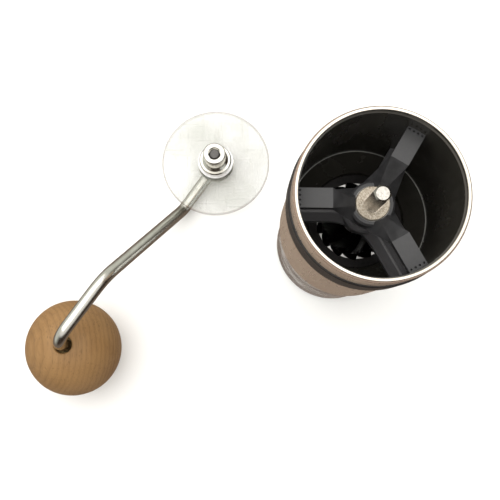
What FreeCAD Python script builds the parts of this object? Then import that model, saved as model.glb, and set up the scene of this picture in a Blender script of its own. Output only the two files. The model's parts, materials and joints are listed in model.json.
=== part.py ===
import FreeCAD, Part
import math
import os
import Sketcher

# Hand crank coffee grinder.  The grinder stands on its catch jar, and the crank with its lid lies upside
# down beside it.  Origin: the centre of the jar's foot.  +Z is up, along the drive shaft.

doc = FreeCAD.newDocument("CoffeeGrinder")
sheet = doc.addObject("Spreadsheet::Sheet", "Sizes")

SIZES = {
    # the housing, from the outside in
    "sleeve_radius": 30.2,
    "tube_radius": 29.6,
    "bore_radius": 28.5,
    "liner_radius": 28.1,
    "grip_radius": 31.0,
    "rim_top": 155.0,
    "rim_lip": 1.3,
    "rim_round": 0.15,
    "housing_bottom": 66.0,
    "liner_top": 152.4,
    "liner_bottom": 97.0,
    "grip_top": 141.0,
    "grip_bottom": 125.0,
    "grip_slant": 0.4,
    "grip_slant_height": 0.6,
    # the catch jar and its thread
    "jar_radius": 28.6,
    "jar_wall": 2.6,
    "jar_floor": 4.0,
    "jar_shoulder": 65.5,
    "jar_foot": 5.0,
    "jar_foot_slant": 1.5,
    "jar_foot_height": 1.4,
    "jar_bend": 4.0,
    "jar_bend_low": 1.2,
    "jar_bend_side": 2.2,
    "jar_bend_high": 0.4,
    "jar_floor_bend": 6.0,
    "jar_inner_start": 8.0,
    "jar_inner_end": 3.0,
    "neck_radius": 26.0,
    "neck_bore": 23.6,
    "neck_top": 77.0,
    "thread_radius": 26.3,
    "thread_start": 2.5,
    "thread_half": 0.8,
    "thread_pitch": 3.5,
    "thread_ring_bore": 26.6,
    "carrier_bottom": 78.0,
    "carrier_sleeve": 2.2,
    "carrier_land": 0.6,
    "carrier_slope": 1.6,
    "carrier_fit": 0.2,
    # the drive shaft and its bearings
    "shaft_radius": 3.5,
    "shaft_bottom": 52.0,
    "shaft_chamfer": 0.5,
    "shaft_top": 154.3,
    "hexagon_corner": 3.2,
    "hexagon_tip": 2.3,
    "hexagon_turn": 48.748,
    "thread_core": 3.0,
    "bearing_radius": 6.5,
    "bearing_width": 4.0,
    "race_radius": 5.0,
    "race_ball": 1.0,
    "race_groove": 1.05,
    "inner_race": 4.4,
    "outer_race": 5.6,
    "race_step": 0.3,
    "upper_seat": 129.3,
    "lower_seat": 112.0,
    "washer_radius": 6.3,
    "washer_height": 0.9,
    "washer_chamfer": 0.3,
    "circlip_rim": 1.6,
    "circlip_level": 1.4,
    "circlip_height": 1.0,
    # the two spiders
    "hub_radius_low": 8.4,
    "hub_depth": 3.0,
    "hub_bevel": 1.0,
    "hub_edge": 0.8,
    "bore_overshoot": 5.0,
    "spider_bore": 5.0,
    "arm_fit": 0.02,
    "arm_width": 7.0,
    "plate_top": 144.5,
    "plate_start": 15.5,
    "plate_depth": 3.4,
    "slope_end": 4.5,
    "slope_crest": 0.7,
    "slope_foot": 7.0,
    "slope_drop": 0.1,
    "arm_overshoot": 2.0,
    "notch_radius": 0.42,
    "notch_pitch": 1.7,
    "notch_depth": 1.2,
    "notch_inset": 1.0,
    "star_half_width": 3.5,
    "star_fillet": 20.0,
    "star_reach": 36.0,
    "roof_height": 3.1,
    "roof_angle": 45.0,
    "skirt_height": 3.0,
    "star_drop": 0.5,
    # the burrs, the dial and the spring
    "burr_radius": 19.4,
    "burr_top": 90.0,
    "burr_bottom": 70.0,
    "mouth_radius": 15.2,
    "throat_radius": 12.6,
    "throat_level": 82.0,
    "exit_radius": 15.6,
    "cone_top": 92.0,
    "cone_tip": 6.0,
    "cone_base": 15.2,
    "cone_edge": 70.2,
    "cone_foot": 66.0,
    "cone_bore": 3.6,
    "cone_foot_inset": 4.0,
    "cone_skirt": 1.5,
    "cone_skirt_height": 1.6,
    "disc_radius": 9.0,
    "disc_height": 1.2,
    "screw_radius": 1.8,
    "screw_height": 1.5,
    "screw_overhang": 0.2,
    "dial_radius": 15.0,
    "dial_top": 64.2,
    "dial_bottom": 58.0,
    "dial_bore": 3.1,
    "dial_chamfer": 1.5,
    "dial_edge": 1.0,
    "flute_radius": 1.1,
    "flute_overhang": 0.4,
    "detent_circle": 6.5,
    "detent_radius": 0.9,
    "detent_seat": 0.95,
    "detent_drop": 0.6,
    "spring_radius": 5.4,
    "spring_wire": 0.6,
    "spring_bottom": 93.1,
    "spring_top": 105.2,
    "spring_pitch": 3.025,
    "spring_seat_rim": 1.0,
    "spring_seat_gap": 0.7,
    "spring_seat_height": 1.3,
    # the crank, in its own upright frame: the lid's middle plane is at height 0
    "lid_radius": 28.2,
    "lid_height": 2.5,
    "lid_edge": 0.4,
    "lid_fit": 0.08,
    "lid_gap": 0.3,
    "hub_radius": 8.3,
    "nose_radius": 5.7,
    "nose_length": 15.8,
    "nose_start": 5.8,
    "hub_top": 8.2,
    "nose_edge": 0.5,
    "nose_cove": 1.0,
    "hub_flange": 1.2,
    "hub_flange_height": 1.0,
    "hub_tier": 1.8,
    "hub_tier_rise": 0.5,
    "hub_dome": 0.8,
    "hub_dome_height": 1.2,
    "hub_dome_edge": 0.4,
    "ring_width": 0.9,
    "ring_height": 1.0,
    "socket_corner": 3.35,
    "socket_top": 2.8,
    "mouth_depth": 2.4,
    "plunger_radius": 2.7,
    "plunger_edge": 0.5,
    "plunger_recess": 0.6,
    "plunger_length": 1.6,
    "crank_radius": 119.4,
    "tube_arm_radius": 3.0,
    "arm_level": 4.85,
    "arm_drop": 43.2,
    "arm_inset": 1.7,
    "arm_seat_length": 20.0,
    "bend_at_hub": 5.0,
    "bend_below": 19.5,
    "bend_at_knob": 9.0,
    "arm_end": 8.0,
    "first_bend": 29.8,
    "second_bend": 83.5,
    "knob_radius": 23.3,
    "knob_level": 7.0,
    "knob_bore": 4.2,
    "knob_recess": 7.0,
    "knob_overshoot": 2.0,
    "knob_countersink": 0.9,
    "knob_mouth": 2.9,
    "bushing_fit": 0.1,
    "bushing_end": 7.6,
    "head_gap": 0.4,
    "bolt_bore": 6.2,
    "bolt_head": 5.4,
    "bolt_start": 12.4,
    "bolt_side": 2.2,
    "bolt_height": 3.0,
    "bolt_edge": 0.8,
    # the crank's place on the table
    "lying_x": -61.3,
    "lying_y": 42.0,
    "lying_z": 8.653,
    "lying_yaw": 235.14,
    "lying_pitch": -3.51,
    "lying_roll": 183.6,
}

for row, (alias, value) in enumerate(SIZES.items(), start=1):
    sheet.set("A%d" % row, alias)
    sheet.set("B%d" % row, str(value))
    sheet.setAlias("B%d" % row, alias)
doc.recompute()

ORIGIN = FreeCAD.Vector(0, 0, 0)
AXIS_Z = FreeCAD.Vector(0, 0, 1)
ALMOST_ZERO = 1e-9
BALL_COUNT = 9
SCREW_COUNT = 3
FLUTE_COUNT = 18
NOTCH_COUNT = 4
DETENT_COUNT = 2
subparts = []


def size(alias):
    return float(getattr(sheet, alias))


def bind(obj, prop, expression):
    """Bind a property to the sheet; in an expression a leading $ marks a cell's alias."""
    obj.setExpression(prop, expression.replace("$", "Sizes."))


def value_of(expression):
    return float(sheet.evalExpression(expression.replace("$", "")))


def keep(obj, label):
    obj.Label = label
    subparts.append(obj)
    return obj


def plane(body, role):
    return next(part for part in body.Origin.OriginFeatures if part.Role == role)


def outline_sketch(body, name, role, outline, arcs=None):
    """A closed outline; each corner is a pair of expressions bound to the sheet.

    The edges are straight, but for those in arcs: {edge number: (centre x, centre y, radius)}.
    """
    sketch = body.newObject("Sketcher::SketchObject", name)
    sketch.AttachmentSupport = (plane(body, role), [""])
    sketch.MapMode = "FlatFace"
    arcs = arcs or {}
    corners = [FreeCAD.Vector(value_of(x), value_of(y), 0) for x, y in outline]
    count = len(corners)
    ends = []
    for index in range(count):
        start = corners[index]
        end = corners[(index + 1) % count]
        if index not in arcs:
            sketch.addGeometry(Part.LineSegment(start, end), False)
            ends.append((1, 2))
            continue
        centre_x, centre_y, radius = arcs[index]
        centre = FreeCAD.Vector(value_of(centre_x), value_of(centre_y), 0)
        towards_middle = ((start + end) / 2 - centre).normalize()
        arc = Part.Arc(start, centre + towards_middle * value_of(radius), end)
        sketch.addGeometry(arc, False)
        turns_left = (start - centre).cross(end - centre).z > 0
        ends.append((1, 2) if turns_left else (2, 1))
    for index in range(count):
        following = (index + 1) % count
        sketch.addConstraint(
            Sketcher.Constraint("Coincident", index, ends[index][1], following, ends[following][0]))
    for index, (x, y) in enumerate(outline):
        for kind, expression, number in (
                ("DistanceX", x, corners[index].x), ("DistanceY", y, corners[index].y)):
            point = ends[index][0]
            if abs(number) < ALMOST_ZERO:
                axis = -2 if kind == "DistanceX" else -1
                sketch.addConstraint(Sketcher.Constraint("PointOnObject", index, point, axis))
                continue
            if number > 0:
                at = sketch.addConstraint(Sketcher.Constraint(kind, -1, 1, index, point, number))
                bind(sketch, "Constraints[%d]" % at, expression)
            else:
                at = sketch.addConstraint(Sketcher.Constraint(kind, index, point, -1, 1, -number))
                bind(sketch, "Constraints[%d]" % at, "-(%s)" % expression)
    for index, (_, _, radius) in arcs.items():
        at = sketch.addConstraint(Sketcher.Constraint("Radius", index, value_of(radius)))
        bind(sketch, "Constraints[%d]" % at, radius)
    return sketch


def turn_outline(body, sketch):
    turn = body.newObject("PartDesign::Revolution", body.Name + "_turn")
    turn.Profile = sketch
    turn.ReferenceAxis = (sketch, ["V_Axis"])
    turn.Angle = 360


def turned_body(name, outline):
    """A body turned about Z; the outline's corners are (radius, height)."""
    body = doc.addObject("PartDesign::Body", name)
    turn_outline(body, outline_sketch(body, name + "_outline", "XZ_Plane", outline))
    return body


def turned(label, outline):
    return keep(turned_body(label, outline), label)


def tube(label, outer, inner, bottom, top):
    return turned(label, [(inner, bottom), (outer, bottom), (outer, top), (inner, top)])


def cylinder(name, radius, bottom, height):
    body = doc.addObject("Part::Cylinder", name)
    bind(body, "Radius", radius)
    bind(body, "Height", height)
    bind(body, "Placement.Base.z", bottom)
    return body


def hexagon(name, corner, bottom, height):
    body = doc.addObject("Part::Prism", name)
    body.Polygon = 6
    bind(body, "Circumradius", corner)
    bind(body, "Height", height)
    bind(body, "Placement.Base.z", bottom)
    return body


def cut(name, base, tool):
    result = doc.addObject("Part::Cut", name)
    result.Base = base
    result.Tool = tool
    return result


def fuse(name, shapes):
    result = doc.addObject("Part::MultiFuse", name)
    result.Shapes = shapes
    return result


def compound(label, solids):
    group = doc.addObject("Part::Compound", label)
    group.Links = solids
    return keep(group, label)


# ---------------------------------------------------------------- housing

turned("outer_sleeve", [
    ("$tube_radius", "$housing_bottom"),
    ("$sleeve_radius", "$housing_bottom"),
    ("$sleeve_radius", "$rim_top - $rim_lip - $rim_round"),
    ("$sleeve_radius - $rim_round", "$rim_top - $rim_lip"),
    ("$tube_radius", "$rim_top - $rim_lip"),
])
turned("inner_tube", [
    ("$bore_radius", "$housing_bottom"),
    ("$tube_radius", "$housing_bottom"),
    ("$tube_radius", "$rim_top - $rim_round"),
    ("$tube_radius - $rim_round", "$rim_top"),
    ("$bore_radius + $rim_round", "$rim_top"),
    ("$bore_radius", "$rim_top - $rim_round"),
])
turned("grip_band", [
    ("$sleeve_radius", "$grip_bottom"),
    ("$grip_radius - $grip_slant", "$grip_bottom"),
    ("$grip_radius", "$grip_bottom + $grip_slant_height"),
    ("$grip_radius", "$grip_top - $grip_slant_height"),
    ("$grip_radius - $grip_slant", "$grip_top"),
    ("$sleeve_radius", "$grip_top"),
])
tube("hopper_liner", "$bore_radius", "$liner_radius", "$liner_bottom", "$liner_top")
tube("thread_ring", "$bore_radius", "$thread_ring_bore", "$housing_bottom", "$carrier_bottom")
turned("burr_carrier", [
    ("$burr_radius", "$burr_bottom"),
    ("$burr_radius + $carrier_sleeve", "$burr_bottom"),
    ("$burr_radius + $carrier_sleeve", "$carrier_bottom"),
    ("$bore_radius", "$carrier_bottom"),
    ("$bore_radius", "$liner_bottom"),
    ("$liner_radius - $carrier_fit", "$liner_bottom"),
    ("$burr_radius + $carrier_land", "$burr_top + $carrier_slope"),
    ("$burr_radius", "$burr_top"),
])

# ---------------------------------------------------------------- spiders


def around(radius, side, angle):
    """The expressions for a point at (radius, side), turned about Z by a whole number of degrees."""
    x = "(%s) * cos(%d deg) - (%s) * sin(%d deg)" % (radius, angle, side, angle)
    y = "(%s) * sin(%d deg) + (%s) * cos(%d deg)" % (radius, angle, side, angle)
    return x, y


def spider_blank(name, seat):
    """A body that starts with the hub's solid; its arms are added to it."""
    return turned_body(name, [
        ("0", "%s - $hub_depth" % seat),
        ("$hub_radius_low - $hub_bevel", "%s - $hub_depth" % seat),
        ("$hub_radius_low", "%s - $hub_depth + $hub_bevel" % seat),
        ("$hub_radius_low", "%s + $bearing_width - $hub_edge" % seat),
        ("$hub_radius_low - $hub_edge", "%s + $bearing_width" % seat),
        ("0", "%s + $bearing_width" % seat),
    ])


def pad(body, name, profile, length):
    feature = body.newObject("PartDesign::Pad", name)
    feature.Profile = profile
    bind(feature, "Length", length)
    return feature


def finished_spider(label, body, seat, notches):
    """The arms are trimmed to the liner's bore, and the bearing's seat is cut above a narrower hole."""
    body.Placement = FreeCAD.Placement(ORIGIN, FreeCAD.Rotation(AXIS_Z, 60))
    trimmed = doc.addObject("Part::Common", label + "_trimmed")
    trimmed.Base = body
    trimmed.Tool = cylinder(
        label + "_bore", "$liner_radius - $arm_fit", "$liner_bottom", "$rim_top - $liner_bottom")
    hole = turned_body(label + "_hole", [
        ("0", "%s - $hub_depth - $bore_overshoot" % seat),
        ("$spider_bore", "%s - $hub_depth - $bore_overshoot" % seat),
        ("$spider_bore", seat),
        ("$bearing_radius", seat),
        ("$bearing_radius", "%s + $bearing_width + $bore_overshoot" % seat),
        ("0", "%s + $bearing_width + $bore_overshoot" % seat),
    ])
    tool = fuse(label + "_tools", [hole] + notches) if notches else hole
    keep(cut(label + "_cut", trimmed, tool), label)


# The upper spider's arms are flat plates at the wall.  From there they slope down to the hub as a roof
# that narrows at its crest and widens at its foot.
upper = spider_blank("upper_blank", "$upper_seat")
plate_section = [
    ("-$arm_width / 2", "$plate_top - $plate_depth"),
    ("$arm_width / 2", "$plate_top - $plate_depth"),
    ("$arm_width / 2", "$plate_top"),
    ("-$arm_width / 2", "$plate_top"),
]
plate_sketch = outline_sketch(upper, "upper_plate_section", "YZ_Plane", plate_section)
bind(plate_sketch, "AttachmentOffset.Base.z", "$plate_start")
plate = pad(upper, "upper_plate", plate_sketch, "$liner_radius + $arm_overshoot - $plate_start")
slope_start = outline_sketch(upper, "upper_slope_start", "YZ_Plane", plate_section)
bind(slope_start, "AttachmentOffset.Base.z", "$plate_start")
slope_end = outline_sketch(upper, "upper_slope_end", "YZ_Plane", [
    ("-$slope_foot", "$upper_seat - $hub_depth + $hub_bevel"),
    ("$slope_foot", "$upper_seat - $hub_depth + $hub_bevel"),
    ("$slope_crest", "$upper_seat + $bearing_width - $slope_drop"),
    ("-$slope_crest", "$upper_seat + $bearing_width - $slope_drop"),
])
bind(slope_end, "AttachmentOffset.Base.z", "$slope_end")
slope = upper.newObject("PartDesign::AdditiveLoft", "upper_slope")
slope.Profile = slope_start
slope.Sections = [slope_end]
slope.Ruled = True
arms = upper.newObject("PartDesign::PolarPattern", "upper_arms")
arms.Originals = [plate, slope]
arms.Axis = (plane(upper, "Z_Axis"), [""])
arms.Angle = 360
arms.Occurrences = 3
upper.Tip = arms

notches = []
for arm_angle in (60, 180, 300):
    for number in range(NOTCH_COUNT):
        name = "notch_%d_%d" % (arm_angle, number)
        notch = cylinder(name, "$notch_radius", "$plate_top - $notch_depth", "2 * $notch_depth")
        from_middle = number - (NOTCH_COUNT - 1) / 2
        x, y = around("$liner_radius - $notch_inset", "%s * $notch_pitch" % from_middle, arm_angle)
        bind(notch, "Placement.Base.x", x)
        bind(notch, "Placement.Base.y", y)
        notches.append(notch)
finished_spider("upper_spider", upper, "$upper_seat", notches)

# The lower spider is a three-armed star with wide fillets; its top is bevelled to a narrow crest.
lower = spider_blank("lower_blank", "$lower_seat")
star = []
star_arcs = {}
tangent = "($star_half_width + $star_fillet) / sin(60 deg) / 2"
for arm_angle in (0, 120, 240):
    star.append(around("$star_reach", "-$star_half_width", arm_angle))
    star.append(around("$star_reach", "$star_half_width", arm_angle))
    star_arcs[len(star)] = around("2 * " + tangent, "0", arm_angle + 60) + ("$star_fillet",)
    star.append(around(tangent, "$star_half_width", arm_angle))
    star.append(around(tangent, "-$star_half_width", arm_angle + 120))
star_sketch = outline_sketch(lower, "lower_star", "XY_Plane", star, star_arcs)
bind(star_sketch, "AttachmentOffset.Base.z", "$lower_seat - $star_drop")
skirt = pad(lower, "lower_skirt", star_sketch, "$skirt_height")
skirt.Reversed = True
roof = pad(lower, "lower_roof", star_sketch, "$roof_height")
bind(roof, "TaperAngle", "-$roof_angle")
finished_spider("lower_spider", lower, "$lower_seat", [])

# ---------------------------------------------------------------- bearings


def race(label, seat, far, near, top):
    """One ring of a bearing, from the radius far to the grooved face at the radius near."""
    middle = "%s + $bearing_width / 2" % seat
    half_groove = "sqrt($race_groove ^ 2 - ($race_radius - %s) ^ 2)" % near
    body = doc.addObject("PartDesign::Body", label)
    outline = [
        (far, seat),
        (near, seat),
        (near, "%s - %s" % (middle, half_groove)),
        (near, "%s + %s" % (middle, half_groove)),
        (near, top),
        (far, top),
    ]
    groove = {2: ("$race_radius", middle, "$race_groove")}
    turn_outline(body, outline_sketch(body, label + "_outline", "XZ_Plane", outline, groove))
    keep(body, label)


def bearing(name, seat):
    """A ball bearing; its inner ring stands slightly proud, so a washer on it clears the outer ring."""
    top = "%s + $bearing_width" % seat
    race(name + "_outer_ring", seat, "$bearing_radius", "$outer_race", top)
    race(name + "_inner_ring", seat, "$shaft_radius", "$inner_race", top + " + $race_step")
    balls = []
    for index in range(BALL_COUNT):
        angle = 360.0 * index / BALL_COUNT
        ball = doc.addObject("Part::Sphere", "%s_ball_%d" % (name, index))
        bind(ball, "Radius", "$race_ball")
        bind(ball, "Placement.Base.x", "$race_radius * cos(%s deg)" % angle)
        bind(ball, "Placement.Base.y", "$race_radius * sin(%s deg)" % angle)
        bind(ball, "Placement.Base.z", "%s + $bearing_width / 2" % seat)
        balls.append(ball)
    compound(name + "_balls", balls)


bearing("upper_bearing", "$upper_seat")
bearing("lower_bearing", "$lower_seat")

# ---------------------------------------------------------------- drive shaft

WASHER_BOTTOM = "$upper_seat + $bearing_width + $race_step"
WASHER_TOP = WASHER_BOTTOM + " + $washer_height"

round_shaft = turned_body("round_shaft", [
    ("0", "$shaft_bottom"),
    ("$thread_core - $shaft_chamfer", "$shaft_bottom"),
    ("$thread_core", "$shaft_bottom + $shaft_chamfer"),
    ("$thread_core", "$cone_foot"),
    ("$shaft_radius", "$cone_foot"),
    ("$shaft_radius", WASHER_TOP),
    ("0", WASHER_TOP),
])
hexagon_blank = hexagon("hexagon_blank", "$hexagon_corner", "$upper_seat", "$shaft_top - $upper_seat")
hexagon_blank.Placement.Rotation = FreeCAD.Rotation(AXIS_Z, size("hexagon_turn"))
tip = doc.addObject("Part::Cone", "hexagon_tip_cone")
bind(tip, "Radius1", "$hexagon_tip + $shaft_top - $upper_seat")
bind(tip, "Radius2", "$hexagon_tip")
bind(tip, "Height", "$shaft_top - $upper_seat")
bind(tip, "Placement.Base.z", "$upper_seat")
pointed = doc.addObject("Part::Common", "pointed_hexagon")
pointed.Base = hexagon_blank
pointed.Tool = tip
keep(fuse("shaft", [round_shaft, pointed]), "drive_shaft")

turned("bearing_washer", [
    ("$shaft_radius", WASHER_BOTTOM),
    ("$washer_radius", WASHER_BOTTOM),
    ("$washer_radius", WASHER_TOP + " - $washer_chamfer"),
    ("$washer_radius - $washer_chamfer", WASHER_TOP),
    ("$shaft_radius", WASHER_TOP),
])
SEAT_LEVEL = "$spring_top + $spring_seat_gap"
tube("spring_seat", "$spring_radius + $spring_seat_rim", "$shaft_radius",
     SEAT_LEVEL, SEAT_LEVEL + " + $spring_seat_height")
CIRCLIP_LEVEL = "$shaft_bottom + $circlip_level"
tube("shaft_circlip", "$thread_core + $circlip_rim", "$thread_core",
     CIRCLIP_LEVEL, CIRCLIP_LEVEL + " + $circlip_height")

# ---------------------------------------------------------------- pressure spring

spring = doc.addObject("Part::Feature", "burr_spring")
coil_height = size("spring_top") - size("spring_bottom")
helix = Part.makeLongHelix(size("spring_pitch"), coil_height, size("spring_radius"))
wire_section = Part.Wire(Part.makeCircle(
    size("spring_wire"), FreeCAD.Vector(size("spring_radius"), 0, 0), FreeCAD.Vector(0, 1, 0)))
spring.Shape = Part.Wire(helix.Edges).makePipeShell([wire_section], True, True)
bind(spring, "Placement.Base.z", "$spring_bottom")
keep(spring, "burr_spring")

# ---------------------------------------------------------------- burrs

turned("outer_burr", [
    ("$exit_radius", "$burr_bottom"),
    ("$burr_radius", "$burr_bottom"),
    ("$burr_radius", "$burr_top"),
    ("$mouth_radius", "$burr_top"),
    ("$throat_radius", "$throat_level"),
])
turned("inner_burr", [
    ("$cone_bore", "$cone_foot"),
    ("$cone_base - $cone_foot_inset", "$cone_foot"),
    ("$cone_base - $cone_skirt", "$cone_edge - $cone_skirt_height"),
    ("$cone_base", "$cone_edge"),
    ("$cone_tip", "$cone_top"),
    ("$cone_bore", "$cone_top"),
])
tube("click_disc", "$disc_radius", "$cone_bore", "$cone_foot - $disc_height", "$cone_foot")

screws = []
for index in range(SCREW_COUNT):
    angle = 360.0 * index / SCREW_COUNT + 90
    head = cylinder(
        "burr_screw_%d" % index, "$screw_radius", "$burr_bottom - $screw_height", "$screw_height")
    bind(head, "Placement.Base.x", "($burr_radius + $screw_overhang) * cos(%s deg)" % angle)
    bind(head, "Placement.Base.y", "($burr_radius + $screw_overhang) * sin(%s deg)" % angle)
    screws.append(head)
compound("burr_screws", screws)

# ---------------------------------------------------------------- adjusting dial

dial_blank = turned_body("dial_blank", [
    ("$dial_bore", "$dial_bottom"),
    ("$dial_radius - $dial_chamfer", "$dial_bottom"),
    ("$dial_radius", "$dial_bottom + $dial_chamfer"),
    ("$dial_radius", "$dial_top - $dial_edge"),
    ("$dial_radius - $dial_edge", "$dial_top"),
    ("$dial_bore", "$dial_top"),
])
flutes = []
for index in range(FLUTE_COUNT):
    angle = 360.0 * index / FLUTE_COUNT
    flute = cylinder("dial_flute_%d" % index, "$flute_radius", "$dial_bottom - $flute_radius",
                     "$dial_top - $dial_bottom + 2 * $flute_radius")
    bind(flute, "Placement.Base.x", "($dial_radius + $flute_overhang) * cos(%s deg)" % angle)
    bind(flute, "Placement.Base.y", "($dial_radius + $flute_overhang) * sin(%s deg)" % angle)
    flutes.append(flute)
ball_seats = []
detents = []
for index in range(DETENT_COUNT):
    angle = 360.0 * index / DETENT_COUNT
    for radius, group in (("detent_seat", ball_seats), ("detent_radius", detents)):
        ball = doc.addObject("Part::Sphere", "%s_%d" % (radius, index))
        bind(ball, "Radius", "$" + radius)
        bind(ball, "Placement.Base.x", "$detent_circle * cos(%s deg)" % angle)
        bind(ball, "Placement.Base.y", "$detent_circle * sin(%s deg)" % angle)
        bind(ball, "Placement.Base.z", "$dial_top - $detent_drop")
        group.append(ball)
keep(cut("dial", dial_blank, fuse("dial_tools", flutes + ball_seats)), "adjust_dial")
compound("detent_balls", detents)

# ---------------------------------------------------------------- catch jar



def thread_ridge(level):
    return [
        ("$neck_radius", level),
        ("$thread_radius", level + " + $thread_half"),
        ("$neck_radius", level + " + 2 * $thread_half"),
    ]


jar_outline = [
    ("0", "0"),
    ("$jar_radius - $jar_foot", "0"),
    ("$jar_radius - $jar_foot_slant", "$jar_foot_height"),
    ("$jar_radius", "$jar_foot"),
    ("$jar_radius", "$jar_shoulder - $jar_bend"),
    ("$jar_radius - $jar_bend_low", "$jar_shoulder - $jar_bend_low"),
    ("$jar_radius - $jar_bend_side", "$jar_shoulder - $jar_bend_high"),
    ("$neck_radius", "$jar_shoulder"),
]
jar_outline += thread_ridge("$jar_shoulder + $thread_start")
jar_outline += thread_ridge("$jar_shoulder + $thread_start + $thread_pitch")
jar_outline += [
    ("$neck_radius", "$neck_top"),
    ("$neck_bore", "$neck_top"),
    ("$neck_bore", "$jar_shoulder - $jar_inner_end"),
    ("$jar_radius - $jar_wall", "$jar_shoulder - $jar_inner_start"),
    ("$jar_radius - $jar_wall", "$jar_floor + $jar_foot"),
    ("$jar_radius - $jar_floor_bend", "$jar_floor"),
    ("0", "$jar_floor"),
]
turned("catch_jar", jar_outline)

# ---------------------------------------------------------------- crank
# Each piece of the crank is built upright: the hub's axis is Z, the lid's middle plane is at height 0 and
# the arm points along +X.  One placement then lays them all on the table.

lying = FreeCAD.Placement(
    FreeCAD.Vector(size("lying_x"), size("lying_y"), size("lying_z")),
    FreeCAD.Rotation(size("lying_yaw"), size("lying_pitch"), size("lying_roll")))
crank_pieces = []


def crank_piece(obj, label):
    crank_pieces.append(obj)
    return keep(obj, label)


FLANGE = "$lid_height / 2 + $lid_gap"
hub_blank = turned_body("hub_blank", [
    ("0", "-$nose_length"),
    ("$nose_radius - $nose_edge", "-$nose_length"),
    ("$nose_radius", "-$nose_length + $nose_edge"),
    ("$nose_radius", "-$nose_start - $nose_cove"),
    ("$nose_radius + $nose_cove", "-$nose_start"),
    ("$hub_radius - $nose_edge", "-$nose_start"),
    ("$hub_radius", "-$nose_start + $nose_edge"),
    ("$hub_radius", FLANGE),
    ("$hub_radius + $hub_flange", FLANGE),
    ("$hub_radius + $hub_flange", FLANGE + " + $hub_flange_height"),
    ("$nose_radius + $hub_tier", FLANGE + " + $hub_flange_height + $hub_tier_rise"),
    ("$nose_radius + $hub_dome", "$hub_top - $hub_dome_height"),
    ("$nose_radius - $hub_dome_edge", "$hub_top"),
    ("0", "$hub_top"),
])
socket = hexagon(
    "hub_socket", "$socket_corner", "-$nose_length - $mouth_depth",
    "$nose_length + $mouth_depth + $socket_top")
arm_seat = cylinder("arm_seat", "$tube_arm_radius", "$arm_level", "$arm_seat_length")
arm_seat.Placement.Rotation = FreeCAD.Rotation(FreeCAD.Vector(0, 1, 0), 90)
bind(arm_seat, "Placement.Base.x", "$nose_radius - $arm_inset")
socket_mouth = cylinder(
    "socket_mouth", "$socket_corner", "-$nose_length - $mouth_depth", "2 * $mouth_depth")
crank_piece(cut("hub", hub_blank, fuse("hub_tools", [socket, socket_mouth, arm_seat])), "crank_hub")


def bent_path(points, radii):
    """Straight runs joined by tangent arcs; one radius for each inner point."""
    edges = []
    start = points[0]
    for point, following, radius in zip(points[1:-1], points[2:], radii):
        before = (point - start).normalize()
        after = (following - point).normalize()
        half_turn = math.acos(before.dot(after)) / 2
        setback = radius * math.tan(half_turn)
        arc_start = point - before * setback
        arc_end = point + after * setback
        bisector = (after - before).normalize()
        middle = point + bisector * (radius / math.cos(half_turn) - radius)
        edges.append(Part.LineSegment(start, arc_start).toShape())
        edges.append(Part.Arc(arc_start, middle, arc_end).toShape())
        start = arc_end
    edges.append(Part.LineSegment(start, points[-1]).toShape())
    return Part.Wire(edges)


reach = size("crank_radius")
low = -size("arm_drop")
arm_points = [
    FreeCAD.Vector(size("nose_radius") - size("arm_inset"), 0, size("arm_level")),
    FreeCAD.Vector(size("first_bend"), 0, size("arm_level")),
    FreeCAD.Vector(size("second_bend"), 0, low),
    FreeCAD.Vector(reach, 0, low),
    FreeCAD.Vector(reach, 0, size("arm_end") - size("knob_level")),
]
crank_arm = doc.addObject("Part::Feature", "crank_arm")
arm_path = bent_path(arm_points, [size("bend_at_hub"), size("bend_below"), size("bend_at_knob")])
arm_section = Part.Wire(Part.makeCircle(size("tube_arm_radius"), arm_points[0], FreeCAD.Vector(1, 0, 0)))
crank_arm.Shape = arm_path.makePipeShell([arm_section], True, False)
crank_piece(crank_arm, "crank_arm")

crank_piece(turned_body("lid_disc", [
    ("$hub_radius + $lid_fit", "-$lid_height / 2"),
    ("$lid_radius - $lid_edge", "-$lid_height / 2"),
    ("$lid_radius", "-$lid_height / 2 + $lid_edge"),
    ("$lid_radius", "$lid_height / 2 - $lid_edge"),
    ("$lid_radius - $lid_edge", "$lid_height / 2"),
    ("$hub_radius + $lid_fit", "$lid_height / 2"),
]), "lid")
crank_piece(turned_body("retaining_ring", [
    ("$hub_radius", "-$lid_height / 2 - $lid_gap - $ring_height"),
    ("$hub_radius + $ring_width", "-$lid_height / 2 - $lid_gap - $ring_height"),
    ("$hub_radius + $ring_width", "-$lid_height / 2 - $lid_gap"),
    ("$hub_radius", "-$lid_height / 2 - $lid_gap"),
]), "lid_retaining_ring")
PLUNGER = "-$nose_length + $plunger_recess"
crank_piece(turned_body("plunger", [
    ("0", PLUNGER),
    ("$plunger_radius - $plunger_edge", PLUNGER),
    ("$plunger_radius", PLUNGER + " + $plunger_edge"),
    ("$plunger_radius", PLUNGER + " + $plunger_length"),
    ("0", PLUNGER + " + $plunger_length"),
]), "socket_plunger")

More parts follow.
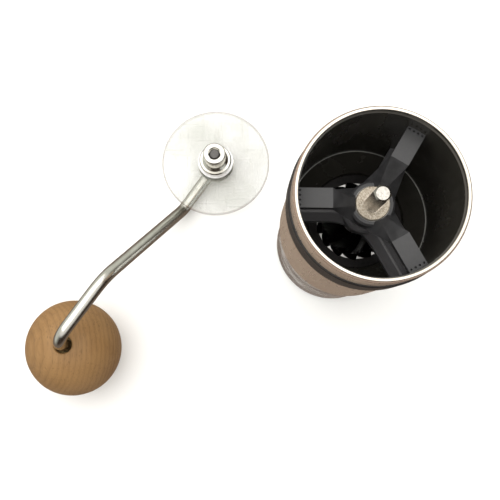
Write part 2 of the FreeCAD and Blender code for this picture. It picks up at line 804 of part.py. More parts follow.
# The knob turns on the arm's end, which comes up into it from below.
knob_ball = doc.addObject("Part::Sphere", "knob_ball")
bind(knob_ball, "Radius", "$knob_radius")
bind(knob_ball, "Placement.Base.z", "-$knob_level")
KNOB_INNER = "-$knob_level - $knob_radius"
KNOB_OUTER = "-$knob_level + $knob_radius"
BOLT = "-$knob_level + $bolt_start"
knob_hole = turned_body("knob_hole", [
    ("0", KNOB_INNER + " - $knob_overshoot"),
    ("$knob_bore + $knob_mouth", KNOB_INNER + " - $knob_overshoot"),
    ("$knob_bore", KNOB_INNER + " + $knob_countersink"),
    ("$knob_bore", BOLT + " - $head_gap"),
    ("$bolt_bore", BOLT + " - $head_gap"),
    ("$bolt_bore", KNOB_OUTER + " + $knob_overshoot"),
    ("0", KNOB_OUTER + " + $knob_overshoot"),
])
knob = cut("knob_cut", knob_ball, knob_hole)
bushing = turned_body("bushing", [
    ("$tube_arm_radius + $bushing_fit", KNOB_INNER + " + $knob_recess"),
    ("$knob_bore", KNOB_INNER + " + $knob_recess"),
    ("$knob_bore", "-$knob_level + $bushing_end"),
    ("$tube_arm_radius + $bushing_fit", "-$knob_level + $bushing_end"),
])
bolt = turned_body("bolt", [
    ("0", "-$knob_level + $arm_end"),
    ("$tube_arm_radius", "-$knob_level + $arm_end"),
    ("$tube_arm_radius", BOLT),
    ("$bolt_head", BOLT),
    ("$bolt_head", BOLT + " + $bolt_side"),
    ("$bolt_head - $bolt_edge", BOLT + " + $bolt_height"),
    ("0", BOLT + " + $bolt_height"),
])
crank_piece(knob, "knob")
crank_piece(bushing, "knob_bushing")
crank_piece(bolt, "knob_bolt")

to_arm_end = FreeCAD.Placement(FreeCAD.Vector(reach, 0, 0), FreeCAD.Rotation())
for obj in crank_pieces:
    on_arm_end = obj.Label in ("knob", "knob_bushing", "knob_bolt")
    obj.Placement = lying * to_arm_end if on_arm_end else lying

# ---------------------------------------------------------------- checks and files

doc.recompute()
for obj in doc.Objects:
    if "Invalid" in obj.State or "Error" in obj.State:
        raise RuntimeError("%s failed: %s" % (obj.Label, obj.State))
os.makedirs("parts", exist_ok=True)
for obj in subparts:
    if obj.Shape.isNull() or not obj.Shape.isValid():
        raise RuntimeError("%s has no valid shape" % obj.Label)
    obj.Shape.exportStep("parts/%s.step" % obj.Label)
    box = obj.Shape.BoundBox
    print("%-26s solids %d volume %9.2f z %7.2f %7.2f" % (
        obj.Label, len(obj.Shape.Solids), obj.Shape.Volume, box.ZMin, box.ZMax))
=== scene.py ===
import json
import math

import bpy
import numpy as np
from mathutils import Matrix, Vector


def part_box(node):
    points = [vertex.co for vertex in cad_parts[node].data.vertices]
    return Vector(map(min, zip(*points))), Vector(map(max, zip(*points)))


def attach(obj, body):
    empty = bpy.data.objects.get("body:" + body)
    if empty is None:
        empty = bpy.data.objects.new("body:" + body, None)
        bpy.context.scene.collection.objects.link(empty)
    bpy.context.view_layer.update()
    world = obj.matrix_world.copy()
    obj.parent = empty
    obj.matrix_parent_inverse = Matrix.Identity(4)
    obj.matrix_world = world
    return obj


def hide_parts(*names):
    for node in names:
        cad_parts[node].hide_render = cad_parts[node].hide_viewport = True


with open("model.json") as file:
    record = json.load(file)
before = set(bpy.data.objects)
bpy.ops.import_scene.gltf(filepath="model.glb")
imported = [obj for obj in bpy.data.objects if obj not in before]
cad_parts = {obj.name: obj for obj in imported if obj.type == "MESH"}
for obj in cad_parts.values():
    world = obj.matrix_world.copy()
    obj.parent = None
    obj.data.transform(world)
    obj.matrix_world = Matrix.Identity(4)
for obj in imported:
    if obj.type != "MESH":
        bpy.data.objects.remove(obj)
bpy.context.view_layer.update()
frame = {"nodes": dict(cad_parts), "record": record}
nodes = frame["nodes"]

MM = 0.001

# The outer burr's coarse teeth: their number, where their tips are and how far along each a painted
# glint reaches.
TOOTH_COUNT = 15
TOOTH_TIP = 14.3 * MM
TOOTH_DEPTH = 2.2 * MM
GLINT_LENGTH = 1.5 * MM
FIRST_TOOTH = 0.16

# The burrs' own sizes.
THROAT_DEPTH = 8.0 * MM
THROAT_RADIUS = 12.6 * MM
EXIT_RADIUS = 15.6 * MM
FINE_TOOTH_COUNT = 45
FINE_TOOTH_DEPTH = 0.5 * MM
BURR_BORE = 3.6 * MM
CONE_TIP = 6.0 * MM
CONE_EDGE = 4.2 * MM
CONE_FOOT_INSET = 4.0 * MM
CONE_SKIRT = 1.5 * MM
CONE_SKIRT_HEIGHT = 1.6 * MM
BLADE_COUNT = 7
BLADE_DEPTH = 2.3 * MM
CONE_TOOTH_COUNT = 42
CONE_TOOTH_DEPTH = 0.45 * MM


# ---------------------------------------------------------------- camera, light and floor
# The view is almost straight down, with the grinder's open hopper at the right.

CAMERA_PLACE = (-0.0468, -0.0465, 0.4063)
CAMERA_LEAN = (6.09, -0.65, 0.67)
FOCAL_LENGTH = 55.2
SENSOR_WIDTH = 36.0

# The studio's tones: overhead, at the horizon from its dark side to its bright side, and below.
OVERHEAD = (1.0, 0.985, 0.955, 1)
DARK_SIDE = (0.040, 0.026, 0.018, 1)
BRIGHT_SIDE = (0.72, 0.735, 0.67, 1)
BELOW = (0.20, 0.155, 0.125, 1)
TOWARDS_BRIGHT_SIDE = (-0.68, 0.73, 0.0)
STUDIO_STRENGTH = 1.3
KEY_LIGHT_PLACE = (-0.34, 0.34, 1.0)
KEY_LIGHT_TARGET = (-0.03, 0.0, 0.03)
KEY_LIGHT_SIZE = (1.5, 1.5)
KEY_LIGHT_POWER = 12.0
KEY_LIGHT_COLOUR = (1.0, 0.98, 0.95)
FLOOR_SIZE = 6
BACKDROP_RADIUS = 2.9


def make_camera():
    lens = bpy.data.cameras.new("camera")
    lens.sensor_width = SENSOR_WIDTH
    lens.lens = FOCAL_LENGTH
    lens.clip_start = 0.01
    camera = bpy.data.objects.new("camera", lens)
    bpy.context.scene.collection.objects.link(camera)
    lean_x, lean_y, turn = (math.radians(angle) for angle in CAMERA_LEAN)
    turned = Matrix.Rotation(turn, 4, "Z") @ Matrix.Rotation(lean_x, 4, "X")
    turned = turned @ Matrix.Rotation(lean_y, 4, "Y")
    camera.matrix_world = Matrix.Translation(CAMERA_PLACE) @ turned
    bpy.context.scene.camera = camera


def area_light(name, place, target, size, power, colour):
    light = bpy.data.lights.new(name, "AREA")
    light.shape = "RECTANGLE"
    light.size, light.size_y = size
    light.energy = power
    light.color = colour
    lamp = bpy.data.objects.new(name, light)
    bpy.context.scene.collection.objects.link(lamp)
    lamp.location = place
    lamp.rotation_mode = "QUATERNION"
    lamp.rotation_quaternion = (Vector(target) - Vector(place)).to_track_quat("-Z", "Y")


def make_light():
    """Bright overhead, grey-green towards the picture's upper left, dark brown at its lower right.

    The floor isn't mirrored in the metal: what shows from below is the studio's own brown-grey.
    """
    world = bpy.data.worlds.new("studio")
    world.use_nodes = True
    tree = world.node_tree
    backdrop = tree.nodes["Background"]
    heading = tree.nodes.new("ShaderNodeTexCoord").outputs["Generated"]
    side = tree.nodes.new("ShaderNodeVectorMath")
    side.operation = "DOT_PRODUCT"
    side.inputs[1].default_value = TOWARDS_BRIGHT_SIDE
    tree.links.new(heading, side.inputs[0])
    parts = tree.nodes.new("ShaderNodeSeparateXYZ")
    tree.links.new(heading, parts.inputs[0])
    horizon = tree.nodes.new("ShaderNodeValToRGB")
    stops = horizon.color_ramp.elements
    stops[0].position, stops[0].color = 0.34, DARK_SIDE
    stops[1].position, stops[1].color = 0.64, BRIGHT_SIDE
    halved = tree.nodes.new("ShaderNodeMapRange")
    halved.inputs["From Min"].default_value = -1.0
    tree.links.new(side.outputs["Value"], halved.inputs["Value"])
    tree.links.new(halved.outputs["Result"], horizon.inputs["Fac"])
    height = tree.nodes.new("ShaderNodeMapRange")
    height.interpolation_type = "SMOOTHSTEP"
    height.inputs["From Min"].default_value = 0.40
    height.inputs["From Max"].default_value = 0.74
    tree.links.new(parts.outputs["Z"], height.inputs["Value"])
    sky = tree.nodes.new("ShaderNodeMix")
    sky.data_type = "RGBA"
    tree.links.new(height.outputs["Result"], sky.inputs[0])
    tree.links.new(horizon.outputs["Color"], sky.inputs[6])
    sky.inputs[7].default_value = OVERHEAD
    depth = tree.nodes.new("ShaderNodeMapRange")
    depth.inputs["From Min"].default_value = -0.15
    depth.inputs["From Max"].default_value = -0.45
    tree.links.new(parts.outputs["Z"], depth.inputs["Value"])
    whole = tree.nodes.new("ShaderNodeMix")
    whole.data_type = "RGBA"
    tree.links.new(depth.outputs["Result"], whole.inputs[0])
    tree.links.new(sky.outputs[2], whole.inputs[6])
    whole.inputs[7].default_value = BELOW
    tree.links.new(whole.outputs[2], backdrop.inputs["Color"])
    backdrop.inputs["Strength"].default_value = STUDIO_STRENGTH
    bpy.context.scene.world = world
    area_light("key_light", KEY_LIGHT_PLACE, KEY_LIGHT_TARGET, KEY_LIGHT_SIZE, KEY_LIGHT_POWER,
               KEY_LIGHT_COLOUR)
    bpy.context.scene.view_settings.view_transform = "Standard"


def make_floor():
    bpy.ops.mesh.primitive_plane_add(size=FLOOR_SIZE)
    floor = bpy.context.object
    floor.name = "floor"
    paper = Finish("floor_paper", roughness=0.9)
    cloud = paper.noise(paper.place(), 6.0, detail=2)
    paper.colour(paper.ramp(cloud, [(0.3, (0.90, 0.90, 0.895)), (0.7, (0.92, 0.92, 0.915))]))
    floor.data.materials.append(paper.material)
    floor.visible_glossy = False


def make_backdrop():
    """A plain pale dome behind everything; it neither lights nor shades the object."""
    bpy.ops.mesh.primitive_uv_sphere_add(radius=BACKDROP_RADIUS, segments=64, ring_count=32)
    dome = bpy.context.object
    dome.name = "backdrop"
    pale = Finish("backdrop_pale", roughness=1.0, emission_strength=1.0)
    pale.set("Base Color", (0.0, 0.0, 0.0))
    pale.set("Emission Color", (0.94, 0.94, 0.935))
    dome.data.materials.append(pale.material)
    dome.visible_diffuse = False
    dome.visible_glossy = False
    dome.visible_shadow = False


# ---------------------------------------------------------------- building blocks for materials


class Finish:
    """A procedural material, with short names for the nodes that the finishes share."""

    def __init__(self, name, **values):
        self.material = bpy.data.materials.new(name)
        self.material.use_nodes = True
        self.tree = self.material.node_tree
        self.shader = self.tree.nodes["Principled BSDF"]
        for socket, value in values.items():
            self.set(socket.replace("_", " ").title().replace("Ior", "IOR"), value)

    def set(self, socket, value):
        if isinstance(value, tuple):
            value = (*value, 1.0)
        self.shader.inputs[socket].default_value = value

    def add(self, kind, inputs=None, **settings):
        node = self.tree.nodes.new(kind)
        for key, value in settings.items():
            setattr(node, key, value)
        for key, value in (inputs or {}).items():
            if isinstance(value, bpy.types.NodeSocket):
                self.tree.links.new(value, node.inputs[key])
            else:
                node.inputs[key].default_value = value
        return node

    def link(self, output, socket):
        self.tree.links.new(output, self.shader.inputs[socket])

    def place(self):
        """The point's place in the object's own frame, in metres."""
        return self.add("ShaderNodeTexCoord").outputs["Object"]

    def mapped(self, vector, scale=(1, 1, 1), turn=(0, 0, 0), shift=(0, 0, 0)):
        turned = tuple(math.radians(angle) for angle in turn)
        inputs = {"Vector": vector, "Location": shift, "Rotation": turned, "Scale": scale}
        return self.add("ShaderNodeMapping", inputs).outputs["Vector"]

    def noise(self, vector, scale, detail=3.0, roughness=0.55, distortion=0.0):
        inputs = {"Vector": vector, "Scale": scale, "Detail": detail, "Roughness": roughness,
                  "Distortion": distortion}
        return self.add("ShaderNodeTexNoise", inputs).outputs["Fac"]

    def cells(self, vector, scale):
        inputs = {"Vector": vector, "Scale": scale}
        return self.add("ShaderNodeTexVoronoi", inputs).outputs["Distance"]

    def maths(self, operation, first, second=0.0, clamp=False):
        return self.add("ShaderNodeMath", {0: first, 1: second}, operation=operation,
                        use_clamp=clamp).outputs[0]

    def band(self, value, low, high, out_low=0.0, out_high=1.0):
        """value from low to high, spread over out_low to out_high."""
        inputs = {"Value": value, "From Min": low, "From Max": high,
                  "To Min": out_low, "To Max": out_high}
        return self.add("ShaderNodeMapRange", inputs).outputs["Result"]

    def ramp(self, value, stops):
        node = self.add("ShaderNodeValToRGB", {"Fac": value})
        ends = node.color_ramp.elements
        while len(ends) < len(stops):
            ends.new(0.5)
        for end, (position, colour) in zip(ends, stops):
            end.position = position
            end.color = (*colour, 1.0)
        return node.outputs["Color"]

    def blend(self, share, first, second):
        node = self.add("ShaderNodeMix", data_type="RGBA")
        colour_sockets = [socket for socket in node.inputs if socket.type == "RGBA"]
        sockets = [node.inputs[0], *colour_sockets]
        for socket, value in zip(sockets, (share, first, second)):
            if isinstance(value, bpy.types.NodeSocket):
                self.tree.links.new(value, socket)
            else:
                socket.default_value = (*value, 1.0) if isinstance(value, tuple) else value
        return [socket for socket in node.outputs if socket.type == "RGBA"][0]

    def round_z(self, vector):
        """(distance from the Z axis, 0, height): what is turned on a lathe varies along these."""
        parts = self.add("ShaderNodeSeparateXYZ", {"Vector": vector})
        flat = self.add("ShaderNodeCombineXYZ", {"X": parts.outputs["X"], "Y": parts.outputs["Y"]})
        length = self.add("ShaderNodeVectorMath", {0: flat.outputs[0]}, operation="LENGTH")
        made = {"X": length.outputs["Value"], "Z": parts.outputs["Z"]}
        return self.add("ShaderNodeCombineXYZ", made).outputs[0]

    def bump(self, height, distance, strength=1.0):
        inputs = {"Height": height, "Distance": distance, "Strength": strength}
        node = self.add("ShaderNodeBump", inputs)
        self.link(node.outputs["Normal"], "Normal")

    def colour(self, output):
        self.link(output, "Base Color")

    def roughness(self, output):
        self.link(output, "Roughness")


# ---------------------------------------------------------------- finishes


def polished_steel():
    """The rim is cream bright, with fine turned rings; the shaft is darker and streaked, and lighter
    over its top.
    """
    steel = Finish("polished_steel", metallic=1.0)
    place = steel.place()
    rings = steel.noise(steel.round_z(place), 2600.0, detail=2)
    smears = steel.noise(place, 55.0, detail=4)
    rim = steel.ramp(smears, [(0.3, (0.50, 0.455, 0.395)), (0.7, (0.60, 0.56, 0.50))])
    streaks = steel.noise(steel.mapped(place, (1, 1, 0.12)), 1100.0, detail=4)
    darker_shaft = steel.ramp(streaks, [(0.35, (0.17, 0.145, 0.115)), (0.7, (0.40, 0.365, 0.31))])
    parts = steel.add("ShaderNodeSeparateXYZ", {"Vector": steel.round_z(place)})
    on_shaft = steel.maths("LESS_THAN", parts.outputs["X"], 10 * MM)
    lighter_shaft_top = steel.ramp(streaks, [(0.35, (0.30, 0.285, 0.26)), (0.7, (0.44, 0.425, 0.39))])
    shaft_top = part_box("drive_shaft")[1].z
    at_tip = steel.band(parts.outputs["Z"], shaft_top - 1.4 * MM, shaft_top - 0.4 * MM)
    # within 10 mm of the axis the colour is darker and streaked, and lighter over the shaft's top 1.4
    # mm
    steel.colour(steel.blend(on_shaft, rim, steel.blend(at_tip, darker_shaft, lighter_shaft_top)))
    steel.roughness(steel.band(smears, 0.3, 0.7, 0.16, 0.30))
    steel.bump(rings, 0.00001, 0.5)
    return steel.material


def bronze_sleeve():
    """The outer sleeve: brown metal with faint rubbed streaks and a darker top edge."""
    bronze = Finish("bronze_sleeve", metallic=0.45, coat_weight=0.35, coat_roughness=0.08)
    place = bronze.place()
    streaks = bronze.noise(bronze.mapped(place, (1, 1, 0.06)), 700.0, detail=3)
    clouds = bronze.noise(place, 40.0, detail=4)
    tone = bronze.ramp(clouds, [(0.25, (0.46, 0.34, 0.25)), (0.75, (0.58, 0.455, 0.35))])
    rubbed = bronze.blend(bronze.band(streaks, 0.35, 0.75, 0.0, 0.15), tone, (0.66, 0.54, 0.43))
    height = bronze.add("ShaderNodeSeparateXYZ", {"Vector": place}).outputs["Z"]
    sleeve_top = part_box("outer_sleeve")[1].z
    at_top = bronze.band(height, sleeve_top - 0.35 * MM, sleeve_top - 0.1 * MM)
    bronze.colour(bronze.blend(at_top, rubbed, (0.20, 0.135, 0.095)))
    bronze.roughness(bronze.band(streaks, 0.3, 0.7, 0.24, 0.38))
    bronze.bump(streaks, 0.000002, 0.3)
    return bronze.material


def black_grip():
    """The grip band: satin black rubber with a fine grain and dust."""
    rubber = Finish("black_grip", specular_ior_level=0.4)
    place = rubber.place()
    grain = rubber.noise(place, 2400.0, detail=4)
    dust = rubber.noise(place, 160.0, detail=6, roughness=0.7)
    rubber.colour(rubber.ramp(dust, [(0.42, (0.012, 0.011, 0.011)), (0.80, (0.034, 0.030, 0.029))]))
    rubber.roughness(rubber.band(grain, 0.3, 0.7, 0.38, 0.55))
    rubber.bump(grain, 0.00003, 0.5)
    return rubber.material


def hopper_black():
    """The hopper's glossy moulding, with coffee dust and rubbed patches and a painted highlight along
    a deep edge.
    """
    black = Finish("hopper_black")
    place = black.place()
    smears = black.noise(black.mapped(place, (1, 1, 0.35)), 60.0, detail=5, roughness=0.6)
    specks = black.cells(place, 900.0)
    dust = black.band(specks, 0.0, 0.22, 1.0, 0.0)
    patchy = black.maths("MULTIPLY", dust, black.band(smears, 0.5, 0.75))
    base = black.ramp(smears, [(0.3, (0.028, 0.026, 0.022)), (0.75, (0.044, 0.041, 0.034))])
    dusty = black.blend(black.maths("MULTIPLY", patchy, 0.5), base, (0.09, 0.07, 0.05))
    round_place = black.add("ShaderNodeSeparateXYZ", {"Vector": black.round_z(place)})
    # painted highlight: a thin pale ring at the burr carrier's top edge stands in for the light that
    # edge catches
    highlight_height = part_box("burr_carrier")[1].z - 0.1 * MM
    above_highlight = black.maths("GREATER_THAN", round_place.outputs["Z"], highlight_height)
    inside = black.maths("LESS_THAN", round_place.outputs["Z"], highlight_height + 0.3 * MM)
    edge = black.maths("MULTIPLY", above_highlight, inside)
    black.colour(black.blend(edge, dusty, (0.30, 0.30, 0.28)))
    black.roughness(black.band(smears, 0.3, 0.7, 0.16, 0.34))
    black.bump(smears, 0.00012, 0.25)
    return black.material


def spider_black():
    """The two spiders: satin black moulding with a fine grain; the lower one is painted lighter, a
    painted light for the light its facets catch deep in the hopper.
    """
    satin = Finish("spider_black")
    place = satin.place()
    grain = satin.noise(place, 3200.0, detail=3)
    wear = satin.noise(place, 220.0, detail=6, roughness=0.65)
    satin_tone = satin.ramp(wear, [(0.35, (0.022, 0.022, 0.0235)), (0.75, (0.044, 0.044, 0.046))])
    height = satin.add("ShaderNodeSeparateXYZ", {"Vector": place}).outputs["Z"]
    low_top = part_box("lower_spider")[1].z
    # painted light: this mask turns the colour lighter below the lower spider's top, standing in for
    # the light its facets catch; it is not dust
    dust = satin.band(height, low_top + 1 * MM, low_top + 3 * MM, 1.0, 0.0)
    satin.colour(satin.blend(dust, satin_tone, (0.115, 0.113, 0.118)))
    satin.roughness(satin.band(wear, 0.3, 0.7, 0.42, 0.60))
    satin.bump(grain, 0.00004, 0.5)
    return satin.material


def pitted_steel():
    """The washer: dull warm-grey metal with dark pits and crumbs of coffee."""
    pitted = Finish("pitted_steel", metallic=0.85)
    place = pitted.place()
    mottle = pitted.noise(place, 1300.0, detail=6, roughness=0.75)
    pits = pitted.cells(place, 1500.0)
    hole = pitted.band(pits, 0.10, 0.26, 1.0, 0.0)
    sparse = pitted.maths("MULTIPLY", hole, pitted.band(mottle, 0.40, 0.55))
    tone = pitted.ramp(mottle, [(0.34, (0.13, 0.105, 0.08)), (0.50, (0.36, 0.315, 0.25)),
                                (0.68, (0.60, 0.555, 0.48))])
    pitted.colour(pitted.blend(sparse, tone, (0.035, 0.025, 0.018)))
    pitted.roughness(pitted.band(mottle, 0.3, 0.7, 0.38, 0.62))
    pitted.bump(pitted.maths("SUBTRACT", mottle, sparse), 0.00008, 0.6)
    return pitted.material


def plain_steel(name, low, high, roughness, scale=900.0):
    """Small steel parts: a grey between low and high, with a fine finish."""
    steel = Finish(name, metallic=1.0)
    place = steel.place()
    mottle = steel.noise(place, scale, detail=4)
    steel.colour(steel.ramp(mottle, [(0.3, low), (0.7, high)]))
    steel.roughness(steel.band(mottle, 0.3, 0.7, roughness, roughness + 0.16))
    steel.bump(mottle, 0.00002, 0.4)
    return steel.material


def burr_steel():
    """Both burrs: near-black steel; the outer burr's coarse teeth carry painted glints on their tips.
    """
    steel = Finish("burr_steel", metallic=0.9)
    place = steel.place()
    mottle = steel.noise(place, 500.0, detail=5, roughness=0.65)
    dark = steel.ramp(mottle, [(0.3, (0.006, 0.0055, 0.0055)), (0.75, (0.020, 0.0185, 0.018))])
    parts = steel.add("ShaderNodeSeparateXYZ", {"Vector": steel.round_z(place)})
    near_top = steel.maths("GREATER_THAN", parts.outputs["Z"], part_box("outer_burr")[1].z - 0.1 * MM)
    glint_end = TOOTH_TIP + GLINT_LENGTH
    within_glint = steel.band(parts.outputs["X"], glint_end, glint_end + 0.1 * MM, 1.0, 0.0)
    past_cone = steel.maths("GREATER_THAN", parts.outputs["X"], TOOTH_TIP - 1 * MM)
    # painted glint: the outer burr's tooth tips, at its top and out to the glint's end, are coloured
    # pale steel; elsewhere the burrs stay near black
    glint = steel.maths("MULTIPLY", near_top, within_glint)
    glint = steel.maths("MULTIPLY", glint, past_cone, clamp=True)
    steel.colour(steel.blend(glint, dark, (0.86, 0.85, 0.83)))
    steel.roughness(steel.band(mottle, 0.3, 0.7, 0.34, 0.52))
    steel.bump(mottle, 0.00003, 0.5)
    return steel.material


def satin_steel():
    """The crank's hub and tube arm: satin stainless steel with fine rubbing and a warm cast."""
    steel = Finish("satin_steel", metallic=1.0, anisotropic=0.4)
    place = steel.place()
    rubbed = steel.noise(place, 1400.0, detail=4)
    clouds = steel.noise(place, 90.0, detail=4)
    tone = steel.ramp(clouds, [(0.3, (0.47, 0.455, 0.415)), (0.7, (0.57, 0.56, 0.52))])
    steel.colour(tone)
    steel.roughness(steel.band(rubbed, 0.3, 0.7, 0.17, 0.27))
    steel.bump(rubbed, 0.000003, 0.5)
    return steel.material


def jar_glass():
    """Clear pressed glass, slightly wavy, with a faint film of coffee dust inside."""
    glass = Finish("jar_glass", transmission_weight=1.0, ior=1.5)
    place = glass.place()
    waves = glass.noise(place, 45.0, detail=2)
    film = glass.noise(place, 300.0, detail=6, roughness=0.7)
    glass.colour(glass.ramp(film, [(0.4, (0.97, 0.985, 0.98)), (0.8, (0.92, 0.90, 0.86))]))
    glass.roughness(glass.band(film, 0.45, 0.8, 0.01, 0.12))
    glass.bump(waves, 0.0004, 0.25)
    return glass.material


def clear_lid():
    """Clear acrylic: rubbed scratches and a milky cast on its faces, and painted shade on its rim
    standing in for the dark line that refraction shows there.

    How much it hides is set by Alpha, because the disc is too thin to bend what lies behind it.
    """
    acrylic = Finish("clear_lid", ior=1.49)
    place = acrylic.place()
    first = acrylic.noise(acrylic.mapped(place, (1, 0.05, 1), (0, 0, 25)), 900.0, detail=3)
    second = acrylic.noise(acrylic.mapped(place, (0.05, 1, 1), (0, 0, -10)), 700.0, detail=3)
    scratches = acrylic.maths(
        "MAXIMUM", acrylic.band(first, 0.60, 0.70), acrylic.band(second, 0.61, 0.72))
    clouds = acrylic.noise(place, 60.0, detail=4)
    low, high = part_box("lid")
    centre = (low + high) / 2
    from_centre = acrylic.add(
        "ShaderNodeVectorMath", {0: place, 1: tuple(centre)}, operation="DISTANCE")
    radius = (high.y - low.y) / 2
    edge = acrylic.band(from_centre.outputs["Value"], radius - 0.9 * MM, radius - 0.5 * MM)
    face = acrylic.ramp(clouds, [(0.35, (0.47, 0.485, 0.44)), (0.75, (0.40, 0.415, 0.36))])
    # painted shade: the dark brown edge colour, and its extra alpha, stand in for the dark line the
    # rim shows by refraction
    acrylic.colour(acrylic.blend(edge, face, (0.20, 0.16, 0.125)))
    haze = acrylic.maths("ADD", acrylic.band(clouds, 0.38, 0.68, 0.05, 0.24),
                         acrylic.maths("MULTIPLY", scratches, 0.16))
    alpha = acrylic.maths("MAXIMUM", haze, acrylic.maths("MULTIPLY", edge, 0.34), clamp=True)
    acrylic.link(alpha, "Alpha")
    acrylic.roughness(acrylic.band(scratches, 0.0, 1.0, 0.05, 0.25))
    acrylic.bump(scratches, 0.00003, 0.35)
    return acrylic.material


RINGS_PER_METRE = 420.0
RING_WAVE = 2.2


def oak():
    """Oiled oak: growth rings seen along their length, pale rays and short dark pores."""
    wood = Finish("oak", specular_ior_level=0.35)
    place = wood.mapped(wood.place(), turn=(4, 8, -6), shift=(0.012, 0, 0.05))
    wavy = wood.noise(wood.mapped(place, (1, 0.12, 1)), 60.0, detail=3)
    parts = wood.add("ShaderNodeSeparateXYZ", {"Vector": place})
    across = wood.add("ShaderNodeCombineXYZ", {"X": parts.outputs["X"], "Z": parts.outputs["Z"]})
    distance = wood.add("ShaderNodeVectorMath", {0: across.outputs[0]}, operation="LENGTH")
    turns = wood.maths("ADD", wood.maths("MULTIPLY", distance.outputs["Value"], RINGS_PER_METRE),
                       wood.maths("MULTIPLY", wavy, RING_WAVE))
    ring = wood.maths("FRACT", turns)
    fibres = wood.noise(wood.mapped(place, (1, 0.035, 1)), 1500.0, detail=4, roughness=0.65)
    pores = wood.noise(wood.mapped(place, (1, 0.07, 1)), 2300.0, detail=2)
    clouds = wood.noise(place, 45.0, detail=3)
    early = wood.ramp(ring, [(0.0, (0.215, 0.112, 0.037)), (0.45, (0.275, 0.148, 0.052)),
                             (0.9, (0.24, 0.128, 0.043)), (1.0, (0.155, 0.076, 0.025))])
    grained = wood.blend(wood.band(fibres, 0.3, 0.75, 0.0, 0.45), early, (0.155, 0.078, 0.025))
    paler = wood.blend(wood.band(clouds, 0.35, 0.7, 0.0, 0.4), grained, (0.36, 0.212, 0.088))
    dark_pore = wood.band(pores, 0.60, 0.68, 0.0, 0.55)
    wood.colour(wood.blend(dark_pore, paler, (0.085, 0.040, 0.016)))
    wood.roughness(wood.band(fibres, 0.3, 0.7, 0.42, 0.60))
    wood.bump(wood.maths("SUBTRACT", fibres, dark_pore), 0.00006, 0.5)
    return wood.material


def brass():
    metal = Finish("bushing_brass", metallic=1.0)
    mottle = metal.noise(metal.place(), 700.0, detail=3)
    # painted shade: the brass is coloured near black-brown, standing in for the shade inside the
    # knob's hole
    metal.colour(metal.ramp(mottle, [(0.3, (0.060, 0.040, 0.018)), (0.7, (0.115, 0.080, 0.038))]))
    metal.roughness(metal.band(mottle, 0.3, 0.7, 0.3, 0.45))
    return metal.material


def dial_black():
    plastic = Finish("dial_black")
    grain = plastic.noise(plastic.place(), 1800.0, detail=3)
    tone = plastic.ramp(grain, [(0.3, (0.016, 0.016, 0.017)), (0.7, (0.035, 0.034, 0.034))])
    plastic.colour(tone)
    plastic.roughness(plastic.band(grain, 0.3, 0.7, 0.4, 0.55))
    plastic.bump(grain, 0.00004, 0.4)
    return plastic.material


def make_finishes():
    return {
        "polished_steel": polished_steel(),
        "bronze_sleeve": bronze_sleeve(),
        "black_grip": black_grip(),
        "hopper_black": hopper_black(),
        "spider_black": spider_black(),
        "washer_steel": pitted_steel(),
        "bearing_steel": plain_steel(
            "bearing_steel", (0.13, 0.125, 0.12), (0.24, 0.235, 0.225), 0.22),
        "spring_steel": plain_steel("spring_steel", (0.42, 0.42, 0.43), (0.58, 0.58, 0.59), 0.25),
        "burr_steel": burr_steel(),
        "plunger_steel": plain_steel(
            "plunger_steel", (0.05, 0.048, 0.046), (0.13, 0.125, 0.12), 0.38, 1600.0),
        "dial_black": dial_black(),
        "jar_glass": jar_glass(),
        "satin_steel": satin_steel(),
        "clear_lid": clear_lid(),
        "oak": oak(),
        "bushing_brass": brass(),
    }


def dress_cad_nodes(finishes):
    """Each CAD node takes the finish of its slot in the record."""
    for entry in frame["record"]["subparts"]:
        mesh = nodes[entry["node"]].data
        mesh.materials.clear()
        mesh.materials.append(finishes[entry["material_slot"]])


# ---------------------------------------------------------------- burr teeth


def sheet_mesh(name, rows):
    """A closed surface through rows of points; each row is a ring, and the last joins the first."""
    count = len(rows[0])
    faces = []
    for row in range(len(rows)):
        above = (row + 1) % len(rows)
        for column in range(count):
            following = (column + 1) % count
            faces.append((row * count + column, row * count + following,
                          above * count + following, above * count + column))
    mesh = bpy.data.meshes.new(name)
    mesh.from_pydata([tuple(point) for row in rows for point in row], [], faces)
    mesh.validate()
    piece = bpy.data.objects.new(name, mesh)
    bpy.context.scene.collection.objects.link(piece)
    return piece


def ring_of(radii, height, angles):
    heights = np.full_like(angles, height)
    return np.stack([radii * np.cos(angles), radii * np.sin(angles), heights], axis=1)


def tooth(phase, steep):
    """A saw tooth from 0 to 1: a slow rise and a steep fall over the last share of the pitch."""
    phase = phase % 1.0
    return np.where(phase < 1 - steep, phase / (1 - steep), (1 - phase) / steep)


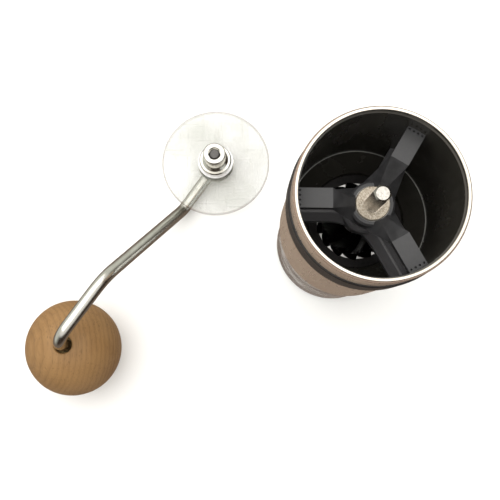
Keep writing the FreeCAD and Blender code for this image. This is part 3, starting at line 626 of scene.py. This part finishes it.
def make_outer_burr(finish):
    low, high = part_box("outer_burr")
    outside = high.x
    bottom, top = low.z, high.z
    throat = top - THROAT_DEPTH
    angles = np.linspace(0, 2 * math.pi, TOOTH_COUNT * 48, endpoint=False)
    rows = []
    for height in np.linspace(bottom, throat, 14)[:-1]:
        share = (height - bottom) / (throat - bottom)
        base = EXIT_RADIUS + (THROAT_RADIUS - EXIT_RADIUS) * share
        phase = angles * FINE_TOOTH_COUNT / (2 * math.pi) + share * 1.5
        rows.append(ring_of(base + FINE_TOOTH_DEPTH * tooth(phase, 0.3), height, angles))
    for height in np.linspace(throat, top, 14):
        share = (height - throat) / (top - throat)
        base = THROAT_RADIUS + (TOOTH_TIP - THROAT_RADIUS) * share
        phase = angles * TOOTH_COUNT / (2 * math.pi) + share * 0.45 + FIRST_TOOTH
        depth = FINE_TOOTH_DEPTH + (TOOTH_DEPTH - FINE_TOOTH_DEPTH) * share
        rows.append(ring_of(base + depth * np.sqrt(tooth(phase, 0.16)), height, angles))
    round_edge = np.full_like(angles, outside)
    rows.append(ring_of(round_edge, top, angles))
    rows.append(ring_of(round_edge, bottom, angles))
    burr = sheet_mesh("outer_burr_toothed", rows)
    burr.data.materials.append(finish)
    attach(burr, "housing")
    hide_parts("outer_burr")


def make_inner_burr(finish):
    low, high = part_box("inner_burr")
    bottom, top = low.z, high.z
    base_radius = high.x
    edge = bottom + CONE_EDGE
    angles = np.linspace(0, 2 * math.pi, CONE_TOOTH_COUNT * 16, endpoint=False)
    rows = [ring_of(np.full_like(angles, BURR_BORE), bottom, angles),
            ring_of(np.full_like(angles, base_radius - CONE_FOOT_INSET), bottom, angles),
            ring_of(np.full_like(angles, base_radius - CONE_SKIRT), edge - CONE_SKIRT_HEIGHT, angles)]
    for height in np.linspace(edge, top, 36):
        share = (height - edge) / (top - edge)
        base = base_radius + (CONE_TIP - base_radius) * share
        small_phase = angles * CONE_TOOTH_COUNT / (2 * math.pi) - share * 2.5
        small = CONE_TOOTH_DEPTH * max(0.0, 1 - share / 0.45) * tooth(small_phase, 0.3)
        spread = min(1.0, share / 0.3)
        big_phase = angles * BLADE_COUNT / (2 * math.pi) - share * 0.8
        big = BLADE_DEPTH * spread * (1 - 0.35 * share) * tooth(big_phase, 0.25)
        rows.append(ring_of(base - small - big, height, angles))
    rows.append(ring_of(np.full_like(angles, BURR_BORE), top, angles))
    burr = sheet_mesh("inner_burr_toothed", rows)
    burr.data.materials.append(finish)
    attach(burr, "burr")
    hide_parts("inner_burr")


# ---------------------------------------------------------------- the scene

make_camera()
make_light()
make_floor()
make_backdrop()
finishes = make_finishes()
dress_cad_nodes(finishes)
make_outer_burr(finishes["burr_steel"])
make_inner_burr(finishes["burr_steel"])
